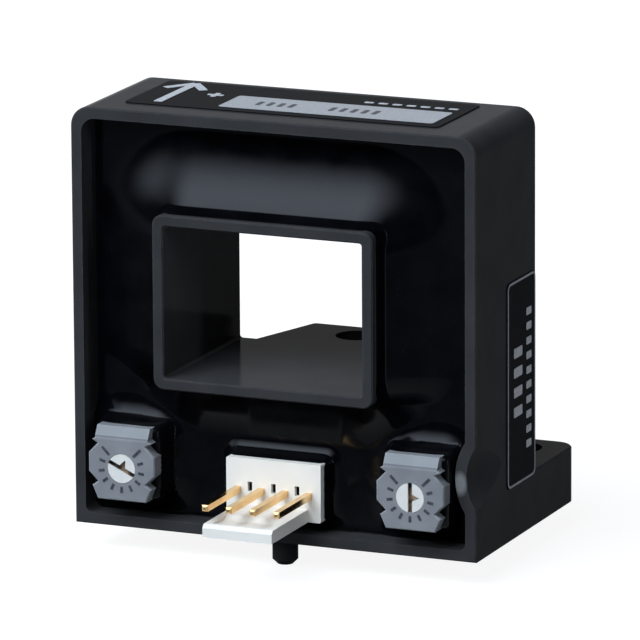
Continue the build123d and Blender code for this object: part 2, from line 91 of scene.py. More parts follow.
to_camera = direction(view_azimuth, view_elevation)
camera_data = bpy.data.cameras.new("camera")
camera_data.sensor_width = sensor_width
camera_data.lens = lens_length
camera_data.clip_start = 0.01
camera = bpy.data.objects.new("camera", camera_data)
bpy.context.scene.collection.objects.link(camera)
camera.location = view_middle + to_camera * view_distance
aim = (-to_camera).to_track_quat("-Z", "Y")
camera.rotation_mode = "QUATERNION"
camera.rotation_quaternion = aim @ Quaternion((0, 0, 1), view_roll)
bpy.context.scene.camera = camera
print("camera at", [round(value, 3) for value in camera.location])

# %% [markdown]
# ## A few helpers for modelling by operators
# Operators act on whatever is selected, so each piece starts with nothing selected. A primitive
# gets its size and place at once, and these helpers then pick faces or edges by where they are.


# %% Helpers for selecting and finishing
def start_piece():
    """Leaves object mode with nothing selected."""
    if bpy.context.object and bpy.context.object.mode != "OBJECT":
        bpy.ops.object.mode_set(mode="OBJECT")
    bpy.ops.object.select_all(action="DESELECT")


def name_piece(name):
    """Names the active object and bakes its place into its mesh."""
    piece = bpy.context.object
    piece.name = name
    piece.data.name = name
    bpy.ops.object.transform_apply(location=True, rotation=True, scale=True)
    return piece


def pick(piece, kind, test):
    """Selects the vertices, edges or faces of a piece that pass a test, and goes to edit mode."""
    bpy.ops.object.mode_set(mode="EDIT")
    bpy.ops.mesh.select_mode(type=kind)
    bpy.ops.mesh.select_all(action="DESELECT")
    bpy.ops.object.mode_set(mode="OBJECT")
    mesh = piece.data
    for part in {"VERT": mesh.vertices, "EDGE": mesh.edges, "FACE": mesh.polygons}[kind]:
        part.select = test(part)
    bpy.ops.object.mode_set(mode="EDIT")


def finish_piece(piece, body, angle=30):
    """Smooths the soft edges, keeps the sharp ones, and hands the piece to its body."""
    bpy.ops.object.mode_set(mode="EDIT")
    bpy.ops.mesh.select_all(action="SELECT")
    bpy.ops.mesh.normals_make_consistent(inside=False)
    bpy.ops.object.mode_set(mode="OBJECT")
    bpy.ops.object.shade_smooth_by_angle(angle=radians(angle))
    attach(piece, body)
    print(piece.name, len(piece.data.polygons), "faces")


# %% [markdown]
# ## Helpers for node trees
# The floor, the lamps, the world and the materials are all built from the same few nodes, so each
# kind gets a helper that makes the node, links it and returns its output.


# %% Helpers for nodes
def math_node(tree, operation, *values):
    """Math node whose inputs are sockets or plain numbers; returns its output."""
    node = tree.nodes.new("ShaderNodeMath")
    node.operation = operation
    for index, value in enumerate(values):
        if isinstance(value, (int, float)):
            node.inputs[index].default_value = value
        else:
            tree.links.new(value, node.inputs[index])
    return node.outputs[0]


def spread(tree, value, low, high, to_low=0.0, to_high=1.0, kind="LINEAR"):
    """Map Range node from low..high to to_low..to_high; returns its output."""
    node = tree.nodes.new("ShaderNodeMapRange")
    node.interpolation_type = kind
    node.inputs["From Min"].default_value = low
    node.inputs["From Max"].default_value = high
    node.inputs["To Min"].default_value = to_low
    node.inputs["To Max"].default_value = to_high
    tree.links.new(value, node.inputs["Value"])
    return node.outputs["Result"]


def object_place(tree):
    """Object coordinates, which are the frame's own metres here."""
    return tree.nodes.new("ShaderNodeTexCoord").outputs["Object"]


def split(tree, vector):
    """The X, Y and Z of a vector, by name."""
    axes = tree.nodes.new("ShaderNodeSeparateXYZ")
    tree.links.new(vector, axes.inputs["Vector"])
    return axes.outputs


def seen_share(tree, path, white):
    """1 for camera rays, white for reflected and refracted ones, 0 for the light on things."""
    bent = math_node(tree, "MAXIMUM", path["Is Glossy Ray"], path["Is Transmission Ray"])
    return math_node(tree, "MULTIPLY_ADD", bent, white, path["Is Camera Ray"])


# %% [markdown]
# ## The floor
# The floor is a plain white sheet at the height of the locating peg's tip. To the camera it glows
# a little, so that it comes out white without more light on the sensor, and the part of its
# colour that comes from the lamps still lets a soft shadow show. Reflections see the same glow,
# but it fades out in front of the sensor, along a slanting line, as the room there is dark.

# %% Lay the floor
floor_size = 6.0
floor_glow = 0.90
floor_colour = (0.24, 0.24, 0.24, 1)
glow_start_y = -30 * MM
glow_full_y = 10 * MM
glow_slant = 0.25

start_piece()
bpy.ops.mesh.primitive_plane_add(size=floor_size, location=(0, 0, peg_tip_z))
floor = name_piece("floor")
paper = bpy.data.materials.new("floor_paper")
paper.use_nodes = True
tree = paper.node_tree
tree.nodes.clear()
axes = split(tree, object_place(tree))
slanted = math_node(tree, "MULTIPLY_ADD", axes["X"], glow_slant, axes["Y"])
fade = spread(tree, slanted, glow_start_y, glow_full_y)
path = tree.nodes.new("ShaderNodeLightPath").outputs
strength = math_node(tree, "MULTIPLY", seen_share(tree, path, fade), floor_glow)
glow = tree.nodes.new("ShaderNodeEmission")
tree.links.new(strength, glow.inputs["Strength"])
matt = tree.nodes.new("ShaderNodeBsdfDiffuse")
matt.inputs["Color"].default_value = floor_colour
both = tree.nodes.new("ShaderNodeAddShader")
tree.links.new(glow.outputs[0], both.inputs[0])
tree.links.new(matt.outputs[0], both.inputs[1])
surface = tree.nodes.new("ShaderNodeOutputMaterial")
tree.links.new(both.outputs[0], surface.inputs["Surface"])
floor.data.materials.append(paper)
print("floor at z", round(peg_tip_z / MM, 2), "mm")

# %% [markdown]
# ## The light
# One wide soft box stands in front, to the left and above. It lights the rim and the top alike,
# leaves the right wall in shade, and is what the sloping resin mirrors as a broad pale band. A low
# box further left carries that band round its left corner, and a small narrow one on the right
# draws the thin bright lines on the resin's ridges. Each cloth is brightest in the middle, so what
# it leaves in the resin has soft ends, and the light is a little blue, as in the photograph. The
# world behind the sensor is white where it is seen directly or in a reflection, and the room in
# front of it is dark. For the shade it gives a low fill, stronger from the front.

# %% Light the scene
light_colour = (0.87, 1.0, 1.18)
fill_front = 0.05
fill_back = 0.03


def soft_box(name, azimuth, elevation, width, height, power, core):
    """Rectangular lamp 1 m away, aimed at the sensor; core is its evenly bright share."""
    lamp = bpy.data.lights.new(name, "AREA")
    lamp.shape = "RECTANGLE"
    lamp.size = width
    lamp.size_y = height
    lamp.energy = power
    lamp.color = light_colour
    box = bpy.data.objects.new(name, lamp)
    bpy.context.scene.collection.objects.link(box)
    away = direction(azimuth, elevation)
    box.location = view_middle + away
    box.rotation_mode = "QUATERNION"
    box.rotation_quaternion = (-away).to_track_quat("-Z", "Y")
    lamp.use_nodes = True
    tree = lamp.node_tree
    cloth = next(node for node in tree.nodes if node.type == "EMISSION")
    place = tree.nodes.new("ShaderNodeTexCoord")
    place.object = box
    axes = split(tree, place.outputs["Object"])
    evens = [spread(tree, math_node(tree, "ABSOLUTE", axes[axis]), half, half * core,
                    kind="SMOOTHSTEP")
             for axis, half in (("X", width / 2), ("Y", height / 2))]
    tree.links.new(math_node(tree, "MULTIPLY", *evens), cloth.inputs["Strength"])
    print(name, width, "x", height, "m")


soft_box("main_box", azimuth=-25, elevation=47, width=1.7, height=1.06, power=55.0, core=0.0)
soft_box("side_box", azimuth=66, elevation=22, width=0.10, height=0.8, power=2.8, core=0.3)
soft_box("left_box", azimuth=-54, elevation=17, width=0.8, height=0.6, power=6.0, core=0.0)

world = bpy.data.worlds.new("studio")
world.use_nodes = True
bpy.context.scene.world = world
tree = world.node_tree
tree.nodes.clear()
to_back = split(tree, tree.nodes.new("ShaderNodeTexCoord").outputs["Generated"])["Y"]
white = spread(tree, to_back, -0.1, 0.3)
fill = spread(tree, to_back, -0.5, 0.5, fill_front, fill_back)
path = tree.nodes.new("ShaderNodeLightPath").outputs
level = math_node(tree, "MULTIPLY_ADD", path["Is Diffuse Ray"], fill, seen_share(tree, path, white))
sky = tree.nodes.new("ShaderNodeBackground")
tree.links.new(level, sky.inputs["Strength"])
surface = tree.nodes.new("ShaderNodeOutputWorld")
tree.links.new(sky.outputs[0], surface.inputs["Surface"])
sky.inputs["Color"].default_value = (1, 1, 1, 1)
bpy.context.scene.view_settings.view_transform = "Standard"
print("world fill", fill_front, "to", fill_back)

# %% [markdown]
# ## Effects that several finishes share
# Moulded plastic, nylon and film all have a fine grain, a slow drift of tone and edges that catch
# a little wear. Each effect is a node group, built once. It gives out only a number that changes
# over the surface, and each material places it with its own values.


# %% Helpers for node groups
def new_group(name, inputs, outputs):
    """Shader node group with number sockets; returns the tree, its input and its output node."""
    group = bpy.data.node_groups.new(name, "ShaderNodeTree")
    number = "NodeSocketFloat"
    for socket, value in inputs.items():
        made = group.interface.new_socket(name=socket, in_out="INPUT", socket_type=number)
        made.default_value = value
    for socket in outputs:
        group.interface.new_socket(name=socket, in_out="OUTPUT", socket_type=number)
    return group, group.nodes.new("NodeGroupInput"), group.nodes.new("NodeGroupOutput")


def noise(tree, vector, scale, detail=2.0):
    """Noise texture on a vector; scale is a number or a socket."""
    node = tree.nodes.new("ShaderNodeTexNoise")
    node.inputs["Detail"].default_value = detail
    tree.links.new(vector, node.inputs["Vector"])
    if isinstance(scale, (int, float)):
        node.inputs["Scale"].default_value = scale
    else:
        tree.links.new(scale, node.inputs["Scale"])
    return node.outputs["Fac"]


def vector_node(tree, operation, first, second):
    """Vector Math node on a socket and a second socket or a vector; returns its outputs."""
    node = tree.nodes.new("ShaderNodeVectorMath")
    node.operation = operation
    tree.links.new(first, node.inputs[0])
    if isinstance(second, Vector):
        node.inputs[1].default_value = second
    elif second is not None:
        tree.links.new(second, node.inputs[1])
    return node.outputs


# %% [markdown]
# The grain is what spark erosion leaves in a mould: small soft bumps about a tenth of a
# millimetre across, with larger, weaker ones under them. A texture image could hold it, but noise
# on object coordinates needs no unwrapping and has no seams.

# %% Build the grain group
grain_group, given, result = new_group("mould_grain", {"Bumps per mm": 8.0}, ["Height"])
place = object_place(grain_group)
fine_scale = math_node(grain_group, "MULTIPLY", given.outputs["Bumps per mm"], 1 / MM)
coarse_scale = math_node(grain_group, "MULTIPLY", fine_scale, 0.3)
fine = noise(grain_group, place, fine_scale)
coarse = noise(grain_group, place, coarse_scale)
weak = math_node(grain_group, "MULTIPLY", coarse, 0.6)
grain_group.links.new(math_node(grain_group, "ADD", fine, weak), result.inputs["Height"])
print("group", grain_group.name)

# %% [markdown]
# Tone is the slow change of shade that flow lines, handling and polish leave on a moulding. It is
# a number from 0 to 1 around one half, in clouds a few millimetres wide.

# %% Build the tone group
tone_group, given, result = new_group("tone_drift", {"Clouds per mm": 0.25, "Contrast": 1.0},
                                      ["Tone"])
place = object_place(tone_group)
cloud_scale = math_node(tone_group, "MULTIPLY", given.outputs["Clouds per mm"], 1 / MM)
clouds = noise(tone_group, place, cloud_scale, 4.0)
centred = math_node(tone_group, "SUBTRACT", clouds, 0.5)
wide = math_node(tone_group, "MULTIPLY", centred, 2.2)
scaled = math_node(tone_group, "MULTIPLY", wide, given.outputs["Contrast"])
tone = math_node(tone_group, "ADD", scaled, 0.5)
tone_group.links.new(spread(tone_group, tone, 0, 1), result.inputs["Tone"])
print("group", tone_group.name)

# %% [markdown]
# Wear shows first on edges. A Bevel node gives the normal that a slightly rounded edge would
# have, and where it differs from the true normal there is an edge close by. Noise breaks the line
# up, so that it looks rubbed and not drawn.

# %% Build the edge group
edge_group, given, result = new_group("edge_rub", {"Width mm": 0.15, "Breaks per mm": 1.2},
                                      ["Mask"])
width = math_node(edge_group, "MULTIPLY", given.outputs["Width mm"], MM)
rounded = edge_group.nodes.new("ShaderNodeBevel")
rounded.samples = 4
edge_group.links.new(width, rounded.inputs["Radius"])
true_normal = edge_group.nodes.new("ShaderNodeNewGeometry").outputs["Normal"]
turn = vector_node(edge_group, "DOT_PRODUCT", rounded.outputs["Normal"], true_normal)["Value"]
near_edge = spread(edge_group, turn, 0.995, 0.9)
place = object_place(edge_group)
break_scale = math_node(edge_group, "MULTIPLY", given.outputs["Breaks per mm"], 1 / MM)
breaks = spread(edge_group, noise(edge_group, place, break_scale, 3.0), 0.35, 0.65)
edge_group.links.new(math_node(edge_group, "MULTIPLY", near_edge, breaks), result.inputs["Mask"])
print("group", edge_group.name)

# %% [markdown]
# Dust settles as small specks, in patches. Seen from a step away it only takes
# the deepest black off the resin and the case.

# %% Build the dust group
dust_group, given, result = new_group("dust_specks", {"Specks per mm": 3.0, "Amount": 0.3},
                                      ["Mask"])
place = object_place(dust_group)
speck_scale = math_node(dust_group, "MULTIPLY", given.outputs["Specks per mm"], 1 / MM)
cells = dust_group.nodes.new("ShaderNodeTexVoronoi")
cells.feature = "F1"
dust_group.links.new(place, cells.inputs["Vector"])
dust_group.links.new(speck_scale, cells.inputs["Scale"])
speck = spread(dust_group, cells.outputs["Distance"], 0.12, 0.05)
patches = spread(dust_group, noise(dust_group, place, 0.5 / MM, 2.0), 0.5, 0.72)
settled = math_node(dust_group, "MULTIPLY", speck, patches)
amount = math_node(dust_group, "MULTIPLY", settled, given.outputs["Amount"])
dust_group.links.new(amount, result.inputs["Mask"])
print("group", dust_group.name)


# %% [markdown]
# ## Helpers for materials
# Every material has one Principled BSDF. Its constant values are set on its own sockets, and only
# what changes over the surface is linked.

# %% Helpers for materials
def new_material(name, roughness=None, ior=None, metallic=None):
    """Material with one Principled BSDF; returns the material, its tree and the shader."""
    material = bpy.data.materials.new(name)
    material.use_nodes = True
    tree = material.node_tree
    tree.nodes.clear()
    shader = tree.nodes.new("ShaderNodeBsdfPrincipled")
    output = tree.nodes.new("ShaderNodeOutputMaterial")
    tree.links.new(shader.outputs["BSDF"], output.inputs["Surface"])
    for socket, value in (("Roughness", roughness), ("IOR", ior), ("Metallic", metallic)):
        if value is not None:
            shader.inputs[socket].default_value = value
    return material, tree, shader


def place_group(tree, group, output, **values):
    """Places a group with its own values, named with _ for a space; returns one output."""
    node = tree.nodes.new("ShaderNodeGroup")
    node.node_tree = group
    for socket, value in values.items():
        node.inputs[socket.replace("_", " ")].default_value = value
    return node.outputs[output]


def blend(tree, factor, first, second):
    """Colour mix by a factor; each colour is a tuple or a socket; returns the colour."""
    node = tree.nodes.new("ShaderNodeMix")
    node.data_type = "RGBA"
    tree.links.new(factor, node.inputs["Factor"])
    for socket, value in (("A", first), ("B", second)):
        target = next(i for i in node.inputs if i.name == socket and i.type == "RGBA")
        if isinstance(value, tuple):
            target.default_value = (*value, 1)
        else:
            tree.links.new(value, target)
    return next(o for o in node.outputs if o.type == "RGBA")


def feed(tree, shader, colour, roughness):
    """Links a colour and a roughness to the shader."""
    tree.links.new(colour, shader.inputs["Base Color"])
    tree.links.new(roughness, shader.inputs["Roughness"])


def bump(tree, shader, height, strength, depth):
    """Feeds a height through a Bump node into the shader's normal."""
    node = tree.nodes.new("ShaderNodeBump")
    node.inputs["Strength"].default_value = strength
    node.inputs["Distance"].default_value = depth
    tree.links.new(height, node.inputs["Height"])
    tree.links.new(node.outputs["Normal"], shader.inputs["Normal"])


def moulded(name, dark, light, worn, roughness, ior, grain_depth, bumps=8.0, rub=0.15):
    """Moulded plastic: drifting tone, fine grain and rubbed edges."""
    material, tree, shader = new_material(name, ior=ior)
    tone = place_group(tree, tone_group, "Tone", Clouds_per_mm=0.3, Contrast=1.0)
    edge = place_group(tree, edge_group, "Mask", Width_mm=rub, Breaks_per_mm=1.5)
    height = place_group(tree, grain_group, "Height", Bumps_per_mm=bumps)
    colour = blend(tree, edge, blend(tree, tone, dark, light), worn)
    feed(tree, shader, colour, spread(tree, tone, 0, 1, roughness - 0.04, roughness + 0.05))
    bump(tree, shader, height, 0.35, grain_depth)
    return material


def dress(material, *names):
    """Gives a material to every CAD node whose name starts with one of these."""
    count = 0
    for node_name, node in nodes.items():
        if node_name.startswith(names):
            node.data.materials.clear()
            node.data.materials.append(material)
            count += 1
    print(material.name, "on", count, "nodes")


# %% [markdown]
# ## The case
# The case is a fine-grained black nylon with mineral filler. Its own colour is neutral, and only
# the light makes it a bluish grey. The edges are rubbed a touch lighter, and a thin coat gives the
# faint satin sheen. Beside the scallop in the right wall the rim has a painted highlight: a small
# pale patch in a soft mask shaped like an ellipsoid, which stands for light caught there.

# %% Dress the case
# The pale patch by the scallop is a painted highlight, laid into the case's colour.
painted_highlight_middle = Vector((19.9, -2.9, 7.9)) * MM
painted_highlight_radii = Vector((0.85, 0.6, 1.35)) * MM
case_plastic, tree, shader = new_material("case_plastic", ior=1.0)
tone = place_group(tree, tone_group, "Tone", Clouds_per_mm=0.22, Contrast=1.0)
edge = place_group(tree, edge_group, "Mask", Width_mm=0.18, Breaks_per_mm=1.2)
speck = place_group(tree, dust_group, "Mask", Specks_per_mm=2.2, Amount=0.25)
height = place_group(tree, grain_group, "Height", Bumps_per_mm=9.0)
plain = blend(tree, tone, (0.034, 0.033, 0.033), (0.044, 0.043, 0.043))
rubbed = blend(tree, edge, plain, (0.068, 0.067, 0.067))
dusty = blend(tree, speck, rubbed, (0.14, 0.14, 0.14))
from_painted_highlight = vector_node(tree, "SUBTRACT", object_place(tree), painted_highlight_middle)[0]
in_radii = vector_node(tree, "DIVIDE", from_painted_highlight, painted_highlight_radii)[0]
away = vector_node(tree, "LENGTH", in_radii, None)["Value"]
painted_highlight = spread(tree, away, 1.05, 0.5)
feed(tree, shader, blend(tree, painted_highlight, dusty, (0.20, 0.20, 0.195)),
     spread(tree, tone, 0, 1, 0.36, 0.46))
bump(tree, shader, height, 0.3, 0.02 * MM)
shader.inputs["Coat Weight"].default_value = 1.0
shader.inputs["Coat IOR"].default_value = 1.028
shader.inputs["Coat Roughness"].default_value = 0.12
dress(case_plastic, "housing")

# %% [markdown]
# ## The header, its pins and the trimmers
# The header is natural white nylon, slightly warm and a little translucent. The pins are gold
# over nickel: thin plating with faint drawing marks along them. The trimmers are a blue-grey
# thermoset, with a painted shade line where the face meets the step at the top. Their rotors are
# white, and the inside of the slots is painted darker with depth: painted shade, with a brown dirt
# tint.

# %% Dress the header and its pins
header_nylon = moulded("header_nylon", (0.84, 0.79, 0.70), (0.89, 0.84, 0.75), (0.92, 0.88, 0.80),
                       0.42, 1.3, 0.012 * MM)
dress(header_nylon, "connector_body")

pin_gold, tree, shader = new_material("pin_gold", metallic=1.0)
place = object_place(tree)
along = tree.nodes.new("ShaderNodeMapping")
along.inputs["Scale"].default_value = (6.0, 0.6, 6.0)
tree.links.new(place, along.inputs["Vector"])
marks = noise(tree, along.outputs["Vector"], 2.0 / MM, 3.0)
tone = place_group(tree, tone_group, "Tone", Clouds_per_mm=0.8, Contrast=0.8)
feed(tree, shader, blend(tree, tone, (0.84, 0.50, 0.18), (0.98, 0.68, 0.32)),
     spread(tree, marks, 0.3, 0.7, 0.13, 0.24))
bump(tree, shader, marks, 0.15, 0.01 * MM)
dress(pin_gold, "connector_pin")

# %% Dress the trimmers
step_z = 9.75 * MM
trimmer_plastic = moulded("trimmer_plastic", (0.20, 0.205, 0.21), (0.255, 0.26, 0.265),
                          (0.45, 0.46, 0.45), 0.45, 1.3, 0.012 * MM, rub=0.1)
tree = trimmer_plastic.node_tree
shader = next(node for node in tree.nodes if node.type == "BSDF_PRINCIPLED")
moulded_colour = shader.inputs["Base Color"].links[0].from_socket
# The dark line along the step is painted shade, laid into the trimmer's colour.
height = split(tree, object_place(tree))["Z"]
from_step = math_node(tree, "ABSOLUTE", math_node(tree, "SUBTRACT", height, step_z))
painted_step_shade = spread(tree, from_step, 0.10 * MM, 0.03 * MM, 0, 0.6)
with_step_shade = blend(tree, painted_step_shade, moulded_colour, (0.05, 0.052, 0.055))
tree.links.new(with_step_shade, shader.inputs["Base Color"])
dress(trimmer_plastic, "offset_trimmer_body", "gain_trimmer_body", "offset_trimmer_base",
      "gain_trimmer_base")

rotor_face_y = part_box("gain_trimmer_rotor")[0].y
rotor_plastic, tree, shader = new_material("rotor_plastic", ior=1.3)
place = object_place(tree)
depth = split(tree, place)["Y"]
# Deeper in each slot the colour turns brown and black. This is painted shade in the slot, with a
# brown dirt tint.
slot_shade_and_dirt = spread(tree, depth, rotor_face_y + 0.08 * MM, rotor_face_y + 0.2 * MM)
tone = place_group(tree, tone_group, "Tone", Clouds_per_mm=0.9, Contrast=0.8)
white = blend(tree, tone, (0.70, 0.67, 0.61), (0.78, 0.75, 0.68))
dirt_and_shade_patches = spread(tree, noise(tree, place, 1.1 / MM, 2.0), 0.42, 0.6)
slot_dirt_and_shade_colour = blend(tree, dirt_and_shade_patches, (0.42, 0.30, 0.20), (0.05, 0.035, 0.028))
feed(tree, shader, blend(tree, slot_shade_and_dirt, white, slot_dirt_and_shade_colour), spread(tree, tone, 0, 1, 0.38, 0.5))
bump(tree, shader, place_group(tree, grain_group, "Height", Bumps_per_mm=8.0), 0.2, 0.01 * MM)
dress(rotor_plastic, "offset_trimmer_rotor", "gain_trimmer_rotor")

# %% [markdown]
# ## The parts inside
# The board, the core and the chips are shut in by the resin. They still get their own finish, so
# that a cut through the model or an exploded view looks right: solder mask over a weave, rolled
# steel, moulded packages, fired ceramic, tinned leads and spring brass.

# %% Dress the board and the core
board_mask, tree, shader = new_material("board_mask", ior=1.45)
place = object_place(tree)
weave = tree.nodes.new("ShaderNodeTexChecker")
weave.inputs["Scale"].default_value = 2.0 / MM
tree.links.new(place, weave.inputs["Vector"])
tone = place_group(tree, tone_group, "Tone", Clouds_per_mm=0.3, Contrast=1.0)
green = blend(tree, tone, (0.012, 0.10, 0.045), (0.02, 0.15, 0.07))
feed(tree, shader, blend(tree, weave.outputs["Fac"], green, (0.016, 0.12, 0.05)),
     spread(tree, tone, 0, 1, 0.25, 0.4))
bump(tree, shader, weave.outputs["Fac"], 0.1, 0.01 * MM)
dress(board_mask, "circuit_board")

core_steel, tree, shader = new_material("core_steel", metallic=1.0)
place = object_place(tree)
layers = tree.nodes.new("ShaderNodeTexWave")
layers.bands_direction = "Y"
layers.inputs["Scale"].default_value = 0.9 / MM
layers.inputs["Distortion"].default_value = 0.3
tree.links.new(place, layers.inputs["Vector"])
feed(tree, shader, blend(tree, layers.outputs["Fac"], (0.30, 0.30, 0.31), (0.52, 0.52, 0.53)),
     spread(tree, layers.outputs["Fac"], 0, 1, 0.5, 0.3))
bump(tree, shader, layers.outputs["Fac"], 0.4, 0.05 * MM)
dress(core_steel, "magnetic_core")

# %% Dress the small parts on the board
package = moulded("package_black", (0.016, 0.016, 0.018), (0.026, 0.026, 0.028), (0.05, 0.05, 0.05),
                  0.5, 1.45, 0.01 * MM)
dress(package, "hall_element", "amplifier_chip", "voltage_regulator", "protection_diode")

ceramic = moulded("fired_ceramic", (0.50, 0.46, 0.38), (0.66, 0.62, 0.54), (0.72, 0.70, 0.64),
                  0.35, 1.5, 0.005 * MM)
dress(ceramic, "resistor", "capacitor", "offset_trimmer_element", "gain_trimmer_element")


def metal(name, dark, light, roughness):
    """Small metal part with a drifting tone and a fine grain."""
    material, tree, shader = new_material(name, metallic=1.0)
    tone = place_group(tree, tone_group, "Tone", Clouds_per_mm=1.5, Contrast=1.0)
    feed(tree, shader, blend(tree, tone, dark, light),
         spread(tree, tone, 0, 1, roughness, roughness + 0.12))
    bump(tree, shader, place_group(tree, grain_group, "Height", Bumps_per_mm=12.0), 0.2, 0.006 * MM)
    return material


tin = metal("bright_tin", (0.52, 0.52, 0.50), (0.72, 0.72, 0.70), 0.25)
dress(tin, "hall_lead", "offset_trimmer_terminal", "gain_trimmer_terminal")
brass = metal("spring_brass", (0.52, 0.38, 0.16), (0.70, 0.54, 0.28), 0.28)
dress(brass, "offset_trimmer_wiper", "gain_trimmer_wiper")

# %% [markdown]
# ## The label film
# Both labels are printed polyester film, blacker and smoother than the case. Their own solids are
# right, so they only need the finish, and the print is laid on top of them.

# %% Dress the labels
label_film, tree, shader = new_material("label_film", ior=1.022)
tone = place_group(tree, tone_group, "Tone", Clouds_per_mm=0.4, Contrast=0.8)
speck = place_group(tree, dust_group, "Mask", Specks_per_mm=3.0, Amount=0.2)
film = blend(tree, tone, (0.006, 0.006, 0.007), (0.011, 0.011, 0.012))
feed(tree, shader, blend(tree, speck, film, (0.2, 0.2, 0.2)), spread(tree, tone, 0, 1, 0.26, 0.36))
bump(tree, shader, place_group(tree, grain_group, "Height", Bumps_per_mm=5.0), 0.15, 0.008 * MM)
dress(label_film, "top_label", "side_label")

# %% [markdown]
# ## The surface of the resin
# The resin was poured while thin and climbed every wall that it wetted. Round the tunnel it rises
# almost to the lip: a steep narrow part follows the tunnel's own outline, and a long hollow slope
# follows a rounder one down to the level near the case. It does the same on a smaller scale round
# the trimmers and the header. A displacement texture could do this, but a formula for the height
# is exact: the distance to each wetted wall gives a climb, and a soft maximum joins them.

# %% Heights of the resin
resin_level_y = rim_y + 2.6 * MM
tunnel_middle_z = 24.05 * MM
tunnel_half = (11.75 * MM, 8.85 * MM)
tunnel_radius = 1.1 * MM
tunnel_step = (1.2 * MM, 0.5 * MM, 2.0)
tunnel_rise = 3.5 * MM
tunnel_reach = 8.3 * MM
tunnel_power = 1.8
under_tunnel_z = 18 * MM
lost_under_tunnel = 2.8 * MM
header_slopes = ((1.2 * MM, 0.6 * MM, 2.0), (0.9 * MM, 1.6 * MM, 1.6))
trimmer_step = (2.4 * MM, 0.3 * MM, 1.6)
trimmer_slope = (1.15 * MM, 3.0 * MM, 2.0)
wall_thickness = 1.15 * MM
case_radius = 0.9 * MM
wall_creep = 0.15 * MM
wall_reach = 0.25 * MM
softness = 4.0 / MM
header_low, header_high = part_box("connector_body")
header_middle_z = (header_low.z + header_high.z) / 2
header_half = ((header_high.x - header_low.x) / 2, (header_high.z - header_low.z) / 2)
trimmer_middles = []
for side in ("offset", "gain"):
    low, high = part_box(f"{side}_trimmer_body")
    trimmer_middles.append(((low.x + high.x) / 2, (low.z + high.z) / 2))
trimmer_half = ((high.x - low.x) / 2, (high.z - low.z) / 2)


def outside(x, z, half_x, half_z, radius):
    """How far a point lies outside a rounded rectangle about the origin."""
    dx = abs(x) - half_x + radius
    dz = abs(z) - half_z + radius
    return hypot(max(dx, 0), max(dz, 0)) + min(max(dx, dz), 0) - radius


def climb(distance, crest, rounding, *slopes):
    """Height above the level: a flat crest, a rounded shoulder, and slopes that ease out.

    Each slope is its rise, its reach and the power by which it eases out."""
    beyond = (distance - crest) / rounding
    past = rounding * (log(1 + exp(beyond)) if beyond < 30 else beyond)
    return sum(rise * max(1 - past / reach, 0) ** power for rise, reach, power in slopes)


def resin_height(x, z):
    """Height of the resin above its level at a point of the front."""
    near = outside(x, z - tunnel_middle_z, *tunnel_half, tunnel_radius)
    wide = outside(x, z - tunnel_middle_z, *tunnel_half, 3 * MM)
    below = min(max((under_tunnel_z - z) / (3 * MM), 0), 1)
    reach = tunnel_reach - lost_under_tunnel * below
    climbs = [climb(near, 0.15 * MM, 0.12 * MM, tunnel_step)
              + climb(wide, 0.12 * MM, 0.1 * MM, (tunnel_rise, reach, tunnel_power))]
    away = outside(x, z - header_middle_z, *header_half, 0.5 * MM)
    climbs.append(climb(away, 0.0, 0.1 * MM, *header_slopes))
    for middle_x, middle_z in trimmer_middles:
        near = outside(x - middle_x, z - middle_z, *trimmer_half, 0.5 * MM)
        wide = outside(x - middle_x, z - middle_z, *trimmer_half, 2.0 * MM)
        climbs.append(climb(near, 0.08 * MM, 0.08 * MM, trimmer_step)
                      + climb(wide, 0.0, 0.06 * MM, trimmer_slope))
    to_side = case_high.x - wall_thickness - abs(x)
    to_end = min(z, case_high.z - z) - wall_thickness
    climbs.append(wall_creep * exp(-max(min(to_side, to_end), 0) / wall_reach))
    total = 1 + sum(exp(softness * height) - 1 for height in climbs)
    return log(total) / softness


print("height beside the tunnel", round(resin_height(12 * MM, tunnel_middle_z) / MM, 2), "mm")

# %% [markdown]
# The sheet starts as a flat grid. Its long way is rolled once round the tunnel, its short way runs
# from the tunnel to the case walls, and its two ends are merged. This way the rows follow the
# tunnel's edge, where the slope changes fastest, and no hole has to be cut.

# %% Roll a grid round the tunnel
side_steps = 132
corner_steps = 12
ring_steps = 168
ring_growth = 1.0


def rounded_outline(low_x, high_x, low_z, high_z, radius):
    """Points round a rounded rectangle, anticlockwise from the start of its lower side."""
    points = []
    corners = [(high_x - radius, low_z + radius, -pi / 2), (high_x - radius, high_z - radius, 0),
               (low_x + radius, high_z - radius, pi / 2), (low_x + radius, low_z + radius, pi)]
    for index, (centre_x, centre_z, start) in enumerate(corners):
        last_x, last_z, _ = corners[index - 1]
        from_x = last_x + radius * cos(start)
        from_z = last_z + radius * sin(start)
        to_x = centre_x + radius * cos(start)
        to_z = centre_z + radius * sin(start)
        for step in range(side_steps):
            share = step / side_steps
            points.append((from_x + (to_x - from_x) * share, from_z + (to_z - from_z) * share))
        for step in range(corner_steps):
            angle = start + step / corner_steps * pi / 2
            points.append((centre_x + radius * cos(angle), centre_z + radius * sin(angle)))
    return points


